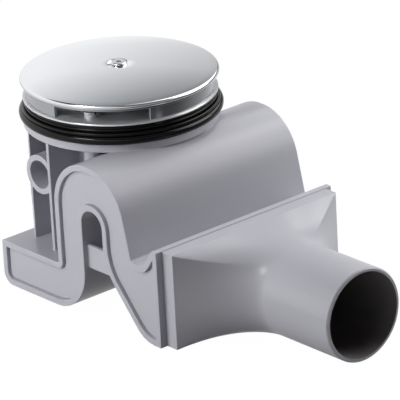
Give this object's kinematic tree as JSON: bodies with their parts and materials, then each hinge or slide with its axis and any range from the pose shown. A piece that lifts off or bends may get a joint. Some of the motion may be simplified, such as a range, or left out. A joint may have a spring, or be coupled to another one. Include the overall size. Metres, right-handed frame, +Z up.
{
  "type": "shower tray drain",
  "caption": "Low tray drain with a domed chrome cover, clamped gaskets, an S-shaped water trap and a horizontal round outlet.",
  "frame": {"origin": "on the drain's axis, in the top face of the trap's round flange, where the lower gasket sits", "axes": "+Z up along the drain's axis, +X towards the outlet"},
  "size_m": [0.2363, 0.121, 0.116],
  "materials": {
    "chrome": "polished",
    "steel": "machined",
    "brass": "machined",
    "rubber": "satin",
    "strainer": "satin",
    "housing": "semi-gloss moulded"
  },
  "bodies": {
    "root": {"cover_disc": "chrome", "cover_screw": "steel", "cover_insert": "brass", "cover_carrier": "chrome", "clamp_flange": "chrome", "upper_gasket": "rubber", "lower_gasket": "rubber", "clamp_screw_1": "steel", "clamp_screw_2": "steel", "clamp_screw_3": "steel", "screw_insert_1": "brass", "screw_insert_2": "brass", "screw_insert_3": "brass", "hair_strainer": "strainer", "trap_body": "housing", "side_plate_front": "housing", "side_plate_rear": "housing", "outlet_adapter": "housing"}
  },
  "joints": []
}
